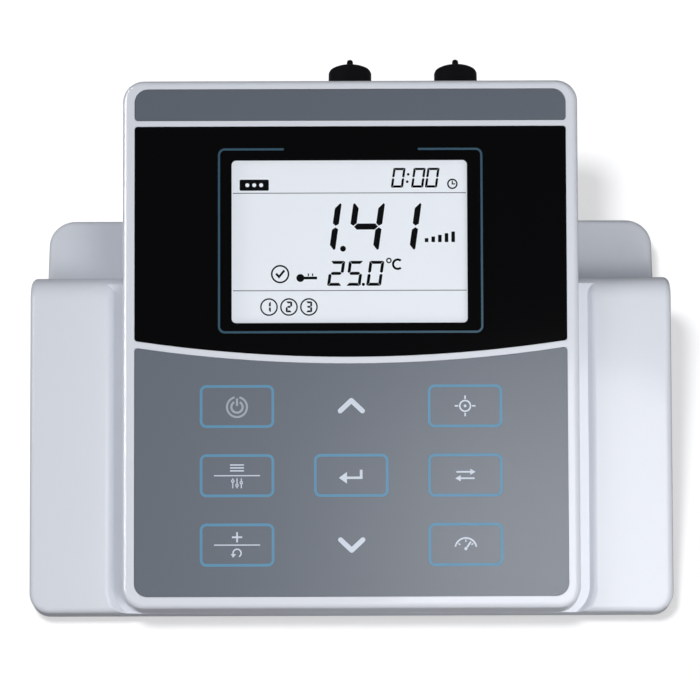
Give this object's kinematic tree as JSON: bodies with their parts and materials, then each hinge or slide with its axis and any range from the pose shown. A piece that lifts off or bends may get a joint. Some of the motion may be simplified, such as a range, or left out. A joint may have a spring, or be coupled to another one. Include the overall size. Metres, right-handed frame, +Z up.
{
  "type": "benchtop conductivity meter",
  "caption": "Wedge-shaped benchtop meter with a winged base, sloping face with display and membrane keys, and capped sockets at the back.",
  "frame": {"origin": "on the desk under the middle of the whole meter, the middle of the bounding box in X and Y, at the bottoms of the feet", "axes": "+X to the user's right along the wings, +Y to the back, towards the sockets, +Z up"},
  "size_m": [0.242, 0.2126, 0.0676],
  "materials": {
    "housing_white": "fine moulded texture, cool white",
    "panel_grey": "printed film, satin grey",
    "mask_black": "printed black behind the lens",
    "lens_clear": "clear acrylic",
    "rubber_black": "matt",
    "board_green": "solder mask",
    "steel": "plain",
    "lcd_pale": "pale display glass, lit from behind",
    "light_white": "milky",
    "plastic_black": "plain",
    "ribbon_grey": "plain",
    "nickel": "nickel plated",
    "gold": "plated contact"
  },
  "bodies": {
    "housing": {"lower_housing": "housing_white", "upper_housing": "housing_white", "base_plate": "housing_white", "rubber_feet": "rubber_black", "top_strip": "panel_grey", "display_lens": "lens_clear", "lens_mask": "mask_black", "keypad_overlay": "panel_grey", "panel_board": "board_green", "key_domes": "steel", "panel_screws": "steel", "lcd_glass": "lcd_pale", "backlight": "light_white", "contact_strips": "rubber_black", "lcd_frame": "plastic_black", "deck_screws": "steel", "case_screws": "steel", "main_board": "board_green", "board_screws": "steel", "board_chips": "plastic_black", "battery_holder": "plastic_black", "clock_battery": "steel", "main_header": "plastic_black", "panel_header": "plastic_black", "ribbon_cable": "ribbon_grey", "cell_socket_block": "plastic_black", "cell_socket": "nickel", "cell_socket_insulator": "light_white", "cell_socket_contact": "gold", "cell_socket_nut": "nickel", "temperature_socket_block": "plastic_black", "temperature_socket": "nickel", "temperature_socket_insulator": "light_white", "temperature_socket_contact": "gold", "temperature_socket_nut": "nickel", "power_inlet": "plastic_black", "power_inlet_pin": "nickel"},
    "key_power": {"key_power": "panel_grey"},
    "key_up": {"key_up": "panel_grey"},
    "key_calibrate": {"key_calibrate": "panel_grey"},
    "key_mode": {"key_mode": "panel_grey"},
    "key_enter": {"key_enter": "panel_grey"},
    "key_unit": {"key_unit": "panel_grey"},
    "key_store": {"key_store": "panel_grey"},
    "key_down": {"key_down": "panel_grey"},
    "key_measure": {"key_measure": "panel_grey"},
    "cell_cap": {"cell_cap": "rubber_black"},
    "temperature_cap": {"temperature_cap": "rubber_black"}
  },
  "joints": [
    {"name": "key_power_press", "type": "slide", "parent": "housing", "child": "key_power", "axis": [0, 0.2588, -0.9659], "range_m": [0, 0.0005], "stiffness_N_per_m": 1500},
    {"name": "key_up_press", "type": "slide", "parent": "housing", "child": "key_up", "axis": [0, 0.2588, -0.9659], "range_m": [0, 0.0005], "stiffness_N_per_m": 1500},
    {"name": "key_calibrate_press", "type": "slide", "parent": "housing", "child": "key_calibrate", "axis": [0, 0.2588, -0.9659], "range_m": [0, 0.0005], "stiffness_N_per_m": 1500},
    {"name": "key_mode_press", "type": "slide", "parent": "housing", "child": "key_mode", "axis": [0, 0.2588, -0.9659], "range_m": [0, 0.0005], "stiffness_N_per_m": 1500},
    {"name": "key_enter_press", "type": "slide", "parent": "housing", "child": "key_enter", "axis": [0, 0.2588, -0.9659], "range_m": [0, 0.0005], "stiffness_N_per_m": 1500},
    {"name": "key_unit_press", "type": "slide", "parent": "housing", "child": "key_unit", "axis": [0, 0.2588, -0.9659], "range_m": [0, 0.0005], "stiffness_N_per_m": 1500},
    {"name": "key_store_press", "type": "slide", "parent": "housing", "child": "key_store", "axis": [0, 0.2588, -0.9659], "range_m": [0, 0.0005], "stiffness_N_per_m": 1500},
    {"name": "key_down_press", "type": "slide", "parent": "housing", "child": "key_down", "axis": [0, 0.2588, -0.9659], "range_m": [0, 0.0005], "stiffness_N_per_m": 1500},
    {"name": "key_measure_press", "type": "slide", "parent": "housing", "child": "key_measure", "axis": [0, 0.2588, -0.9659], "range_m": [0, 0.0005], "stiffness_N_per_m": 1500},
    {"name": "cell_cap_slide", "type": "slide", "parent": "housing", "child": "cell_cap", "axis": [0, 1, 0], "range_m": [0, 0.02]},
    {"name": "temperature_cap_slide", "type": "slide", "parent": "housing", "child": "temperature_cap", "axis": [0, 1, 0], "range_m": [0, 0.02]}
  ]
}
